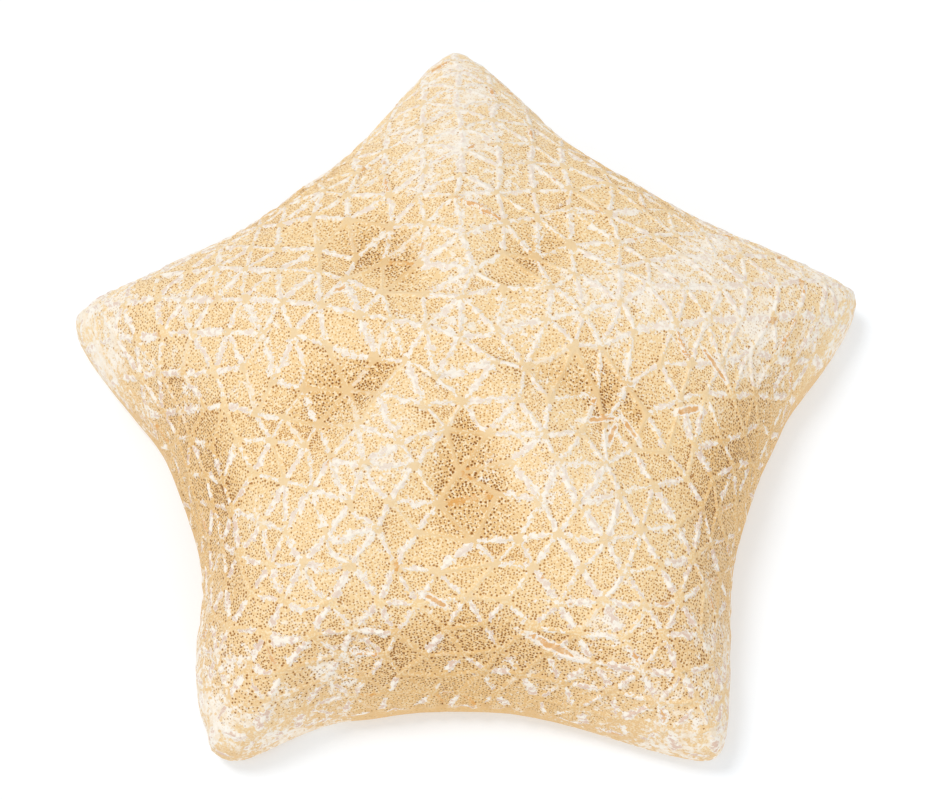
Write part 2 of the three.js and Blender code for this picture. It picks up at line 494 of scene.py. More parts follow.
def lay_net(bm, net, shape, rng):
    """Flat five-sided net: ridges along the plate edges, and fields full of pores between them."""
    crest = bm.verts.layers.float.new("crest")
    bm.verts.layers.float.new("pit")
    hub = bm.verts.layers.int.new("hub")
    start = bm.faces.layers.int.new("start")
    end = bm.faces.layers.int.new("end")
    bm.faces.layers.int.new("field")
    bm.faces.layers.int.new("under")
    corners = [bm.faces.layers.int.new(name) for name in PLATE_CORNERS]
    bm.verts.layers.float_vector.new("flat")

    bmesh.ops.create_circle(bm, cap_ends=True, cap_tris=True, segments=ARM_COUNT, radius=1.0)
    bmesh.ops.subdivide_edges(bm, edges=bm.edges[:], cuts=net.rows - 1, use_grid_fill=True)
    _, part, way = shape.locate(np.array([vert.co[:2] for vert in bm.verts]))
    strays = net.wander / net.rows * mix(1.0, 0.4, smooth(0.25, 0.55, way) * arm_share(part))
    for place, (vert, stray) in enumerate(zip(bm.verts, strays)):
        if not vert.is_boundary:
            vert.co.x += rng.uniform(-stray, stray)
            vert.co.y += rng.uniform(-stray, stray)
        vert[crest] = 1.0
        vert[hub] = place
    hubs = np.array([vert.co[:2] for vert in bm.verts])
    lose_ridges(bm, net, shape, rng)

    plates = bm.faces[:]
    for plate in plates:
        for layer, vert in zip(corners, plate.verts):
            plate[layer] = vert[hub] + 1
    step = net.ridge_half_width / net.rows / 2
    for level in RIDGE_LEVELS:
        strips = bmesh.ops.inset_individual(bm, faces=plates, thickness=step, use_even_offset=True)["faces"]
        for plate in plates:
            for vert in plate.verts:
                vert[crest] = level
        for strip in strips:
            ends = sorted({vert[hub] for vert in strip.verts})
            strip[start] = ends[0] + 1
            strip[end] = ends[-1] + 1
    fill_fields(bm, plates, net, shape, rng)
    return hubs


def lose_ridges(bm, net, shape, rng):
    """Takes out single ridges, so that some pairs of fields run together."""
    inside = [edge for edge in bm.edges if not edge.is_boundary]
    first, second = (np.array([edge.verts[side].co[:2] for edge in inside]) for side in (0, 1))
    way = shape.locate((first + second) / 2)[2]
    chance = net.lost_ridges * mix(0.4, 1.0, smooth(0.15, 0.6, way))
    chance *= 1 - run_along_arm(shape, first, second)
    joined = set()
    lost = []
    for row in rng.permutation(len(inside)):
        sides = inside[row].link_faces[:]
        if rng.random() < chance[row] and joined.isdisjoint(sides):
            joined.update(sides)
            lost.append(inside[row])
    bmesh.ops.dissolve_edges(bm, edges=lost, use_verts=False)


def fill_fields(bm, plates, net, shape, rng):
    """Cuts each field into small facets with a pore at every corner, and pokes a pit into each facet."""
    crest = bm.verts.layers.float["crest"]
    pit = bm.verts.layers.float["pit"]
    hub = bm.verts.layers.int["hub"]
    field = bm.faces.layers.int["field"]
    lengths = [edge for edge in bm.edges if runs_along_ridge(edge, crest, hub)]
    middles = np.array([plate.calc_center_median()[:2] for plate in plates])
    way = shape.locate(middles)[2]
    groups = {}
    for plate, reach in zip(plates, way):
        plate[field] = 1
        cuts = net.pore_cuts if reach < net.fine_reach else net.pore_cuts - 1
        groups.setdefault(cuts, set()).update(plate.edges)
    for cuts, edges in groups.items():
        bmesh.ops.subdivide_edges(bm, edges=list(edges), cuts=cuts, use_grid_fill=True)
    bmesh.ops.subdivide_edges(bm, edges=lengths, cuts=net.ridge_cuts, use_grid_fill=True)
    wide = [face for face in bm.faces if len(face.verts) > 4 or (face[field] and len(face.verts) > 3)]
    bmesh.ops.triangulate(bm, faces=wide, quad_method="SHORT_EDGE", ngon_method="BEAUTY")

    most = net.pore_stray / net.rows
    inside = [vert for vert in bm.verts if all(face[field] for face in vert.link_faces)]
    stray_pores(inside, CORNER_PORE, pit, most, rng)
    fields = [face for face in bm.faces if face[field]]
    poked = bmesh.ops.poke(bm, faces=fields, offset=0.0, center_mode="MEAN")["verts"]
    stray_pores(poked, POKED_PORE, pit, most, rng)


def stray_pores(verts, kind, pit, most, rng):
    """Marks pores and moves each a little, by less than would squeeze or turn over one of its facets."""
    for vert in verts:
        vert[pit] = kind
        start = vert.co.copy()
        step = Vector((rng.uniform(-most, most), rng.uniform(-most, most), 0.0))
        least = LEAST_FACET * narrowest(vert)
        for _ in range(STRAY_TRIES):
            vert.co = start + step
            if narrowest(vert) > least:
                break
            step /= 2
        else:
            vert.co = start


def narrowest(vert):
    """Smallest area of a vertex's flat facets, less than nothing if one is turned over."""
    areas = []
    for face in vert.link_faces:
        first, second, third = (corner.co for corner in face.verts)
        areas.append((second - first).xy.cross((third - first).xy))
    return min(areas)


def runs_along_ridge(edge, crest, hub):
    """True for an edge that runs from plate to plate along a ridge's crest or shoulder."""
    first, second = edge.verts
    level = first[crest] > 0.5 and abs(first[crest] - second[crest]) < 0.01
    return level and first[hub] != second[hub]


def lay_wall(bm):
    """Rings of wall below the widest line, carried past the rim of the flat net."""
    crest = bm.verts.layers.float["crest"]
    cleared = [bm.faces.layers.int[name] for name in ("start", "end", *PLATE_CORNERS)]
    rim = [edge for edge in bm.edges if edge.is_boundary]
    for ring in range(WALL_RINGS):
        made = bmesh.ops.extrude_edge_only(bm, edges=rim)["geom"]
        verts = [item for item in made if isinstance(item, bmesh.types.BMVert)]
        grow = (1 + WALL_STEP * (ring + 1)) / (1 + WALL_STEP * ring)
        bmesh.ops.scale(bm, vec=(grow, grow, 1.0), verts=verts)
        for vert in verts:
            vert[crest] = 0.0
        for item in made:
            if isinstance(item, bmesh.types.BMFace):
                for layer in cleared:
                    item[layer] = 0
        rim = [item for item in made if isinstance(item, bmesh.types.BMEdge) and item.is_boundary]


def lay_underside(bm, rows):
    """A fine flat net of facets for the underside, one step below the back's net."""
    under = bm.faces.layers.int["under"]
    below = Matrix.Translation((0.0, 0.0, -1.0))
    made = bmesh.ops.create_circle(
        bm, cap_ends=True, cap_tris=True, segments=ARM_COUNT, radius=1.0, matrix=below
    )["verts"]
    edges = list({edge for vert in made for edge in vert.link_edges})
    bmesh.ops.subdivide_edges(bm, edges=edges, cuts=rows - 1, use_grid_fill=True)
    faces = [face for face in bm.faces if face.verts[0].co.z < UNDER_LEVEL]
    for face in faces:
        face[under] = 1
    bmesh.ops.reverse_faces(bm, faces=faces)


def stand_up(bm, shape):
    """Moves the flat nets onto the star, notes their flat places, and closes the seam below the wall."""
    flat_layer = bm.verts.layers.float_vector["flat"]
    verts = bm.verts[:]
    flat = np.array([vert.co for vert in verts])
    below = flat[:, 2] < UNDER_LEVEL
    places = np.empty_like(flat)
    places[~below] = shape.place_back(flat[~below])[0]
    places[below] = shape.place_under(flat[below])[0]
    for vert, was, now in zip(verts, flat, places):
        vert[flat_layer] = was
        vert.co = now
    way = shape.locate(flat)[2]
    rim = np.where(below, 1.0, 1 + WALL_STEP * WALL_RINGS)
    seam = [vert for vert, beyond in zip(verts, way > rim - SEAM_REACH) if beyond]
    bmesh.ops.remove_doubles(bm, verts=seam, dist=SEAM_GAP)
    relax_folds(bm)


def relax_folds(bm):
    """Evens out the few small facets of the back that lie folded over at the arms' midlines."""
    under = bm.faces.layers.int["under"]
    for _ in range(FOLD_ROUNDS):
        bm.normal_update()
        folded = [face for face in bm.faces if not face[under] and turned_over(face)]
        verts = list({vert for face in folded for vert in face.verts})
        axes = {"use_axis_x": True, "use_axis_y": True, "use_axis_z": True}
        bmesh.ops.smooth_vert(bm, verts=verts, factor=0.5, **axes)


def turned_over(face):
    """True for a facet that faces away from most of its neighbours."""
    around = Vector()
    for vert in face.verts:
        for other in vert.link_faces:
            around += other.normal * other.calc_area()
    return face.normal.dot(around.normalized()) < FOLD_LIMIT


class BodyMesh:
    """The standing mesh's arrays, for the finer relief and for the traits that the material reads."""

    # Single knobs, the sieve plate first: place from the disc centre, radius and rise in mm, and chalk.
    single_knobs = (
        ((-19.3, -6.1), 2.4, 0.5, 0.0),
        ((30.5, -9.0), 1.7, 0.5, 0.5),
    )
    # The ring of knobs: its middle, each knob's distance from that, its first turn, and the size of a knob.
    ring_middle = (-1.5, 2.0)
    ring_reaches = (2.3, 2.0, 2.5, 2.1, 2.6, 2.0)
    ring_turn = 0.3
    ring_knob = (1.1, 0.5, 1.6)
    # The arm tips' knobs: rise of each, place inside the tip, radius, and chalk on top.
    tip_rises = (0.4, 0.1, 0.4, 0.5, 0.4)
    tip_inset = 1.6
    tip_radius = 1.8
    tip_chalk = 0.5
    # Scallops of the rim in each bay, and their rise in mm.
    scallops = 17
    scallop_rise = 1.0
    # Lumps of the back: size and rise in mm of the broad ones, the small ones and the roughness low down.
    lumps = ((24, 0.5), (6, 0.14), (2.2, 0.14))
    rough_below = 12
    smooth_below = 8
    # The underside in mm: its plates and the gaps between them, and the beads beside its grooves.
    plate_size = 4.2
    gap_width = 0.28
    gap_rise = 0.28
    bead_place = 1.3
    bead_reach = 1.5
    bead_pitch = 2.5
    bead_rise = 0.45
    # A slant from which the pores' own directions are turned.
    pore_slant = (0.31, 0.77, 0.55)
    # The flat layout: middle and scale of back and underside, and place and sizes of the wall strips.
    back_middle = np.array((0.395, 0.6))
    back_scale = 0.388
    under_middle = np.array((0.145, 0.13))
    under_scale = 0.13
    strip_place = (0.795, 0.03)
    strip_pitch = 0.04
    strip_width = 0.033
    strip_length = 0.43

    def __init__(self, mesh, hubs, shape, wear, net):
        self.mesh = mesh
        self.net = net
        self.shape = shape
        self.wear_map = wear
        self.hubs = hubs
        self.flat = self.take("flat", "vector", 3)
        self.crest = self.take("crest", "value")
        self.pit = self.take("pit", "value")
        self.field = self.take("field", "value", whole=True)
        self.start = self.take("start", "value", whole=True)
        self.end = self.take("end", "value", whole=True)
        self.plates = np.stack([self.take(name, "value", whole=True) for name in PLATE_CORNERS], axis=1)
        self.under = self.take("under", "value", whole=True) > 0
        self.places = self.read(mesh.vertices, "co", 3)
        self.normals = self.read(mesh.vertex_normals, "vector", 3)
        self.corner_vert = np.empty(len(mesh.loops), dtype=np.int32)
        mesh.loops.foreach_get("vertex_index", self.corner_vert)
        self.corner_count = np.empty(len(mesh.polygons), dtype=np.int32)
        mesh.polygons.foreach_get("loop_total", self.corner_count)
        self.corner_face = np.repeat(np.arange(len(mesh.polygons)), self.corner_count)
        self.below = self.flat[:, 2] < UNDER_LEVEL
        self.chalk, self.skin, self.wall = wear.read(self.flat)
        _, self.part, self.way = self.shape.locate(self.flat)
        self.flank = wear.flank(self.flat)
        self.chalk = self.chalk + 0.1 * self.flank
        self.find_ridges()
        self.find_fields()
        self.find_room()
        self.find_knobs()

    def read(self, items, key, width):
        """One array from a mesh collection."""
        values = np.empty(len(items) * width, dtype=np.float32)
        items.foreach_get(key, values)
        return values.reshape(-1, width).astype(float)

    def take(self, name, key, width=1, whole=False):
        """One attribute's array; the attribute is no longer needed after that."""
        layer = self.mesh.attributes[name]
        values = np.empty(len(layer.data) * width, dtype=np.int32 if whole else np.float32)
        layer.data.foreach_get(key, values)
        self.mesh.attributes.remove(layer)
        if whole:
            return values
        values = values.astype(float)
        return values.reshape(-1, width) if width > 1 else values

    def give(self, name, values, domain="POINT"):
        """Stores one trait for the material."""
        layer = self.mesh.attributes.new(name, "FLOAT", domain)
        layer.data.foreach_set("value", np.ascontiguousarray(values, dtype=np.float32))

    def give_uv(self, name, values):
        """Stores one map of corner places."""
        layer = self.mesh.uv_layers.new(name=name)
        layer.uv.foreach_set("vector", np.ascontiguousarray(values, dtype=np.float32).ravel())

    def find_ridges(self):
        """Wear, height and ends of the ridge that each face belongs to or lies beside."""
        self.on_ridge = self.start > 0
        start, end = self.nearest_ridge()
        self.has_bar = start > 0
        first = self.hubs[np.maximum(start - 1, 0)]
        second = self.hubs[np.maximum(end - 1, 0)]
        self.ridge_first = first
        self.ridge_second = second
        middle = (first + second) / 2
        chalk, skin, wall = self.wear_map.read(middle)
        flank = self.wear_map.flank(middle)
        along = run_along_arm(self.shape, first, second)
        luck = pair_chance(start, end, 1)
        wear = 0.45 + 0.45 * chalk - 0.75 * skin + (0.75 + 0.8 * flank) * (luck - 0.5)
        wear = wear - 0.5 * wall + 0.5 * along
        self.ridge_wear = np.where(self.has_bar, np.clip(wear, 0.0, 1.4), 0.0)
        amber_luck = pair_chance(start, end, 2) - 0.1 * (np.hypot(middle[:, 0], middle[:, 1]) < 0.2)
        self.ridge_amber = np.where(self.has_bar & (amber_luck > 0.98 - 0.03 * flank), 1.0, 0.0)
        height_luck = pair_chance(start, end, 3)
        self.ridge_lift = np.where(self.on_ridge, 0.55 + 0.6 * height_luck, 0.0)

    def nearest_ridge(self):
        """The two plates of each face's own ridge or, in a field, of the nearest ridge round it."""
        plates, spots = self.plate_spots()
        sides = np.roll(spots, -1, axis=1) - spots
        length = np.hypot(sides[..., 0], sides[..., 1])
        middle = self.face_middle(self.flat[self.corner_vert])
        off = np.abs(cross(sides, middle[:, None, :] - spots)) / np.maximum(length, TINY)
        side = np.where(length > SLACK, off, FAR).argmin(axis=1)
        row = np.arange(len(side))
        pair = np.stack([plates[row, side], np.roll(plates, -1, axis=1)[row, side]], axis=1)
        pair = np.where((self.field > 0)[:, None], np.sort(pair, axis=1), 0)
        start = np.where(self.on_ridge, self.start, pair[:, 0])
        return start, np.where(self.on_ridge, self.end, pair[:, 1])

    def plate_spots(self):
        """Each face's four plates, the first one again where it has three, and their flat places."""
        plates = np.where(self.plates > 0, self.plates, self.plates[:, :1])
        return plates, self.hubs[np.maximum(plates - 1, 0)]

    def face_middle(self, flat):
        """Flat middle of each face, from the flat places of its corners."""
        total = [np.bincount(self.corner_face, weights=flat[:, axis]) for axis in (0, 1)]
        return np.stack(total, axis=1) / self.corner_count[:, None]

    def find_fields(self):
        """How far inside a field each vertex lies: 0 on ridges and plates, 1 in a field's middle."""
        corners = self.plate_spots()[1][self.corner_face]
        spot = self.flat[self.corner_vert][:, None, :2]
        count = 3 + (self.plates[self.corner_face, 3] > 0)
        middle = corners[:, :3].sum(axis=1) + np.where(count > 3, 1, 0)[:, None] * corners[:, 3]
        middle = (middle / count[:, None])[:, None, :]
        sides = np.roll(corners, -1, axis=1) - corners
        here = np.abs(cross(sides, spot - corners))
        most = np.abs(cross(sides, middle - corners))
        shares = np.where(most > TINY, here / np.maximum(most, TINY), 1.0)
        inner = np.where(self.plates[self.corner_face, 0] > 0, shares.prod(axis=1), 0.7)
        total = np.bincount(self.corner_vert, weights=inner, minlength=len(self.places))
        self.inner = total / np.bincount(self.corner_vert, minlength=len(self.places))
        self.open = np.maximum(self.inner, 0.3 * self.flank)

    def find_room(self):
        """Room for relief at each vertex: 1 among full-sized facets, 0 where they are squeezed together."""
        corner = np.arange(len(self.corner_vert))
        first = np.repeat(np.cumsum(self.corner_count) - self.corner_count, self.corner_count)
        following = first + (corner - first + 1) % self.corner_count[self.corner_face]
        side = self.places[self.corner_vert[following]] - self.places[self.corner_vert]
        longest = np.zeros(len(self.field))
        np.maximum.at(longest, self.corner_face, np.linalg.norm(side, axis=1))
        narrow = 2 * self.read(self.mesh.polygons, "area", 1)[:, 0] / longest
        room = np.full(len(self.places), 1.0)
        np.minimum.at(room, self.corner_vert, narrow[self.corner_face])
        self.room = smooth(0.1 * MM, 0.3 * MM, room)

    def find_knobs(self):
        """Rise of the knobs: the ring round the disc centre, the sieve plate and the arm tips."""
        shape = self.shape
        knobs = [((across * MM, along * MM), *size) for (across, along), *size in self.single_knobs]
        turns = np.linspace(self.ring_turn, math.tau + self.ring_turn, len(self.ring_reaches) + 1)[:-1]
        for turn, out in zip(turns, self.ring_reaches):
            across = out * math.cos(turn) + self.ring_middle[0]
            along = out * math.sin(turn) + self.ring_middle[1]
            knobs.append(((across * MM, along * MM), *self.ring_knob))
        for heading, reach, rise in zip(shape.headings, shape.reaches, self.tip_rises):
            tip = reach - self.tip_inset * MM
            place = (tip * math.cos(heading), tip * math.sin(heading))
            knobs.append((place, self.tip_radius, rise, self.tip_chalk))
        self.knob = np.zeros(len(self.places))
        for place, radius, rise, white in knobs:
            centre = shape.centre + place
            off = np.hypot(self.places[:, 0] - centre[0], self.places[:, 1] - centre[1])
            part = (1 - smooth(0.2, 1.0, off / (radius * MM))) * ~self.below
            self.knob += rise * MM * part
            self.chalk = self.chalk + white * part
        band = smooth(0.93, 0.99, self.way) * (1 - smooth(1.0, 1.05, self.way)) * ~self.below
        self.wave = np.abs(np.cos(np.pi * self.part * self.scallops)) * np.sin(np.pi * self.part) ** 2
        scallop = self.wave * band
        self.knob += self.scallop_rise * MM * scallop
        self.chalk = self.chalk + 0.5 * scallop**3

    def vert_mean(self, face_values, face_mask):
        """Mean of a face value over the chosen faces round each vertex."""
        chosen = face_mask[self.corner_face]
        verts = self.corner_vert[chosen]
        values = face_values[self.corner_face][chosen]
        total = np.bincount(verts, weights=values, minlength=len(self.places))
        return total / np.maximum(np.bincount(verts, minlength=len(self.places)), 1)

    def raise_relief(self, rng):
        """Lifts ridges, sinks pores and adds the lumps of the dried body."""
        net = self.net
        way = self.way
        lift = self.vert_mean(self.ridge_lift, self.on_ridge)
        fade = 1 - 0.8 * smooth(0.88, 0.99, way)
        crumble = rng.uniform(-0.3, 0.3, len(way)) * (self.crest > 0) * self.room
        relief = 0.75 * (1 - smooth(0.0, 0.55, self.inner)) + lift * self.crest * 0.5 + crumble
        relief *= net.ridge_height * fade * mix(0.4, 1.0, self.room)
        clog = np.clip(1 - 0.6 * self.chalk + 0.3 * self.skin, 0.2, 1.3) * self.room
        relief -= (self.pit == POKED_PORE) * net.pore_depth * clog
        relief += np.array([self.lump(place) for place in self.places]) + self.knob
        relief = np.where(self.below, 0.0, relief)
        moved = self.places + self.normals * relief[:, None]
        moved[:, 2] += np.where(self.below, self.under_relief(), 0.0)
        self.mesh.vertices.foreach_set("co", moved.astype(np.float32).ravel())
        self.mesh.update()

    def lump(self, place):
        """Broad and small swellings of the back; none at the foot."""
        at = Vector(place)
        broad, small, rough = (noise.noise(at / (size * MM)) * rise for size, rise in self.lumps)
        low = min(1.0, max(0.0, 2 - place[2] / (self.rough_below * MM)))
        return (broad + small + rough * low) * MM * min(1.0, place[2] / (self.smooth_below * MM))

    def under_relief(self):
        """Gaps between the underside's plates and beads along its grooves, all above the resting plane."""
        rise = np.zeros(len(self.places))
        rows = np.nonzero(self.below)[0]
        _, across, half, distance = self.shape.place_under(self.flat[rows])
        self.groove = np.zeros(len(self.places))
        self.groove[rows] = 1 - smooth(0.3 * half, 1.05 * half, across)
        for row, off, wide, out in zip(rows, across, half, distance):
            near = noise.voronoi(Vector(self.places[row]) / (self.plate_size * MM))[0]
            gap = max(0.0, 1 - (near[1] - near[0]) / self.gap_width)
            beside = max(0.0, 1 - abs(off - wide - self.bead_place * MM) / (self.bead_reach * MM))
            bead = abs(math.sin(math.pi * out / (self.bead_pitch * MM))) * beside
            rise[row] = (self.gap_rise * gap * (1 - beside) + self.bead_rise * (beside - bead)) * MM
        return rise

    def map_bars(self):
        """Place of each corner along and across its ridge, in parts of the ridge's length."""
        first = self.ridge_first[self.corner_face]
        run = self.ridge_second[self.corner_face] - first
        length = np.maximum(np.hypot(run[:, 0], run[:, 1]), TINY)
        unit = run / length[:, None]
        off = self.flat[self.corner_vert][:, :2] - first
        along = (off * unit).sum(axis=1) / length - 0.5
        across = (off[:, 0] * unit[:, 1] - off[:, 1] * unit[:, 0]) / length
        bars = np.stack([along, across], axis=1)
        bars[~self.has_bar[self.corner_face]] = (0.0, 1.0)
        self.give_uv("bar", bars)

    def map_pores(self, rng):
        """Offsets of each corner from its face's pores, in pore radii, so that pores are round spots."""
        size = rng.uniform(0.7, 1.12, len(self.places))
        size *= np.clip(1 + 0.2 * self.skin - 0.2 * self.chalk + 0.2 * self.flank, 0.6, 1.3)
        size *= 1.15 - 0.35 * smooth(0.2, 0.7, self.inner)
        size *= 1 - 0.35 * smooth(0.82, 0.97, self.way)
        closed = rng.random(len(self.places)) < 0.05 + 0.18 * np.clip(self.chalk, 0, 1)
        closed |= self.open < 0.1 + rng.uniform(-0.05, 0.05, len(self.places))
        closed |= self.chalk > rng.uniform(0.75, 1.15, len(self.places))
        tip = smooth(0.86, 0.95, self.way) * smooth(0.6, 0.85, arm_share(self.part))
        closed |= tip > rng.random(len(self.places))
        size = np.where(closed, 0.2, size) * self.net.pore_radius
        side = np.cross(self.normals, self.pore_slant)
        side /= np.linalg.norm(side, axis=1)[:, None]
        front = np.cross(self.normals, side)
        for name, (kind, order) in PORE_MAPS.items():
            is_pore = self.pit[self.corner_vert] == kind
            centre = np.full(len(self.field), -1)
            centre[self.corner_face[is_pore][::order]] = self.corner_vert[is_pore][::order]
            pore = centre[self.corner_face]
            has_pore = pore >= 0
            pore = pore[has_pore]
            off = self.places[self.corner_vert[has_pore]] - self.places[pore]
            spot = np.stack([(off * side[pore]).sum(axis=1), (off * front[pore]).sum(axis=1)], axis=1)
            corners = np.full((len(self.corner_vert), 2), FAR)
            corners[has_pore] = spot / size[pore][:, None]
            self.give_uv(name, corners)

    def map_bake(self):
        """A near-even flat layout of the whole body: back, five wall strips and underside."""
        seam = 1 + WALL_STEP * WALL_RINGS
        face_under = self.under[self.corner_face]
        vert_under = self.below[self.corner_vert]
        flat = self.flat[self.corner_vert][:, :2].copy()
        flat[face_under & ~vert_under] /= seam
        flat[~face_under & vert_under] *= seam
        wedge, _, way = self.shape.locate(self.face_middle(flat))
        angle = np.arctan2(flat[:, 1], flat[:, 0]) - FIRST_ARM - wedge[self.corner_face] * WEDGE
        angle = (angle + math.pi) % math.tau - math.pi
        rim = math.cos(WEDGE / 2) / np.cos(angle - WEDGE / 2)
        reach = np.hypot(flat[:, 0], flat[:, 1]) / rim
        on_wall = (way > 1)[self.corner_face] & ~face_under
        spots = self.back_middle + flat * self.back_scale
        spots[face_under] = self.under_middle + flat[face_under] * self.under_scale
        strip = wedge[self.corner_face][on_wall] * self.strip_pitch
        strip = strip + (reach[on_wall] - 1) / (seam - 1) * self.strip_width
        along = angle[on_wall] / WEDGE * self.strip_length
        spots[on_wall] = np.stack([self.strip_place[0] + strip, self.strip_place[1] + along], axis=1)
        self.give_uv("OFBake", spots)

    def give_traits(self):
        """Stores what the material reads."""
        self.give("inner", self.open)
        self.give("low", smooth(0.965, 0.99, self.way - 0.022 * self.wave) * ~self.below)
        for name in ("chalk", "skin", "wall", "flank", "groove"):
            self.give(name, getattr(self, name))
        self.give("wear", self.ridge_wear, "FACE")
        self.give("amber", self.ridge_amber, "FACE")


class NodeBench:
    """Short ways to add nodes to one shader tree."""

    def __init__(self, tree):
        self.tree = tree

    def add(self, kind, inputs=None, **settings):
        """A node with its settings, and values or links in its inputs."""
        node = self.tree.nodes.new(kind)
        for name, value in settings.items():
            setattr(node, name, value)
        for key, value in (inputs or {}).items():
            self.feed(node.inputs[key], value)
        return node

    def feed(self, socket, value):
        """Links an output, or sets a plain value."""
        if isinstance(value, bpy.types.NodeSocket):
            self.tree.links.new(value, socket)
        else:
            socket.default_value = value

    def math(self, operation, first, second=0.0, third=0.0):
        """One sum on numbers."""
        node = self.add("ShaderNodeMath", {0: first, 1: second, 2: third}, operation=operation)
        return node.outputs[0]

    def times(self, first, second):
        """Two numbers multiplied."""
        return self.math("MULTIPLY", first, second)

    def line(self, value, slope, start):
        """A value times a slope, added to a start."""
        return self.math("MULTIPLY_ADD", value, slope, start)

    def rest(self, value):
        """What a value leaves of 1."""
        return self.math("SUBTRACT", 1.0, value)

    def swing(self, value):
        """A chance value's swing about its mean."""
        return self.math("SUBTRACT", value, 0.5)

    def most(self, first, second):
        """The larger of two numbers."""
        return self.math("MAXIMUM", first, second)

    def length(self, vector):
        """Length of a vector."""
        return self.add("ShaderNodeVectorMath", {0: vector}, operation="LENGTH").outputs["Value"]

    def ease(self, value, low, high):
        """Eases from 0 at low to 1 at high."""
        inputs = {"Value": value, "From Min": low, "From Max": high}
        return self.add("ShaderNodeMapRange", inputs, interpolation_type="SMOOTHSTEP").outputs[0]

    def blend(self, amount, first, second):
        """Blends two colours."""
        return self.add("ShaderNodeMix", {0: amount, 6: first, 7: second}, data_type="RGBA").outputs[2]

    def coat(self, colour, new, mask, strength):
        """A new colour laid over another where a mask is."""
        return self.blend(self.times(mask, strength), colour, new)

    def bump(self, shader, height, distance, strength):
        """A height that a shader's normal follows."""
        inputs = {"Height": height, "Distance": distance, "Strength": strength}
        self.feed(shader.inputs["Normal"], self.add("ShaderNodeBump", inputs).outputs[0])

    def grain(self, place, size, detail=2.0, roughness=0.5):
        """A soft chance pattern with features of a real size."""
        inputs = {"Vector": place, "Scale": 1 / size, "Detail": detail, "Roughness": roughness}
        return self.add("ShaderNodeTexNoise", inputs).outputs[0]

    def warp(self, place, size, reach):
        """A chance shift of places, with features of a real size."""
        inputs = {"Vector": place, "Scale": 1 / size, "Detail": 2.0}
        shift = self.add("ShaderNodeTexNoise", inputs).outputs["Color"]
        swing = self.add("ShaderNodeVectorMath", {0: shift, 1: (0.5, 0.5, 0.5)}, operation="SUBTRACT")
        inputs = {0: swing.outputs[0], "Scale": reach}
        return self.add("ShaderNodeVectorMath", inputs, operation="SCALE").outputs[0]

    def group(self, tree, inputs):
        """A shared node group with values or links in its inputs."""
        return self.add("ShaderNodeGroup", inputs, node_tree=tree)

    def trait(self, name):
        """One stored trait of the mesh."""
        return self.add("ShaderNodeAttribute", attribute_name=name).outputs["Fac"]

    def corners(self, name):
        """One stored map of the mesh."""
        return self.add("ShaderNodeUVMap", uv_map=name).outputs[0]


def screen_colour(shade):
    """A screen colour as a shader colour."""
    linear = [part / 12.92 if part <= 0.04045 else ((part + 0.055) / 1.055) ** 2.4 for part in shade]
    return (*linear, 1.0)


def crumb_group():
    """Crumbly lime: how far an amount of chalk covers the surface, and the height of its crumbs."""
    group = bpy.data.node_groups.new("Lime crumbs", "ShaderNodeTree")
    for name, kind, way in (
        ("Place", "NodeSocketVector", "INPUT"),
        ("Amount", "NodeSocketFloat", "INPUT"),
        ("Cover", "NodeSocketFloat", "OUTPUT"),
        ("Height", "NodeSocketFloat", "OUTPUT"),
    ):
        group.interface.new_socket(name=name, in_out=way, socket_type=kind)
    bench = NodeBench(group)
    entry = bench.add("NodeGroupInput")
    place = entry.outputs["Place"]
    blotch = bench.grain(place, 9 * MM, 4.0, 0.6)
    crumbs = bench.grain(place, 1.1 * MM, 3.0, 0.65)
    reach = bench.line(bench.swing(blotch), 1.9, entry.outputs["Amount"])
    reach = bench.line(bench.swing(crumbs), 2.0, reach)
    cover = bench.ease(reach, 0.62, 0.86)
    bench.add("NodeGroupOutput", {"Cover": cover, "Height": bench.times(cover, crumbs)})
    return group


def place_mark(bench, place, ragged, spot, half_sizes, turn=0.0):
    """Distance from a mark on the back, 1 at its edge; the spot is in metres, the half sizes in mm."""
    inputs = {
        "Vector": place,
        "Location": spot,
        "Rotation": (0.0, 0.0, math.radians(turn)),
        "Scale": Vector(half_sizes) * MM,
    }
    mapping = bench.add("ShaderNodeMapping", inputs, vector_type="TEXTURE")
    return bench.math("ADD", bench.length(mapping.outputs[0]), ragged)


def start_material(name, colours):
    """A new material with its bench, its shader, the places on the piece and the colours by name."""
    material = bpy.data.materials.new(name)
    material.use_nodes = True
    bench = NodeBench(material.node_tree)
    shader = material.node_tree.nodes["Principled BSDF"]
    shader.inputs["Specular IOR Level"].default_value = SKIN_SHINE
    place = bench.add("ShaderNodeTexCoord").outputs["Object"]
    shade = {key: screen_colour(getattr(colours, key)) for key in StarfishColours.__annotations__}
    return material, bench, shader, place, shade


def pore_mask(bench, place, fine, low):
    """Where the pores are: round spots on the stored maps, and faint chance ones on the lip."""
    spots = [bench.length(bench.corners(name)) for name in PORE_MAPS]
    nearest = bench.math("MINIMUM", bench.math("MINIMUM", spots[0], spots[1]), spots[2])
    pore = bench.rest(bench.ease(bench.line(fine, 0.5, nearest), 0.62, 1.12))
    cells = bench.add("ShaderNodeTexVoronoi", {"Vector": place, "Scale": 1 / (0.95 * MM)})
    lip_pore = bench.rest(bench.ease(cells.outputs["Distance"], 0.14, 0.3))
    return bench.most(pore, bench.times(bench.times(lip_pore, low), 0.25))


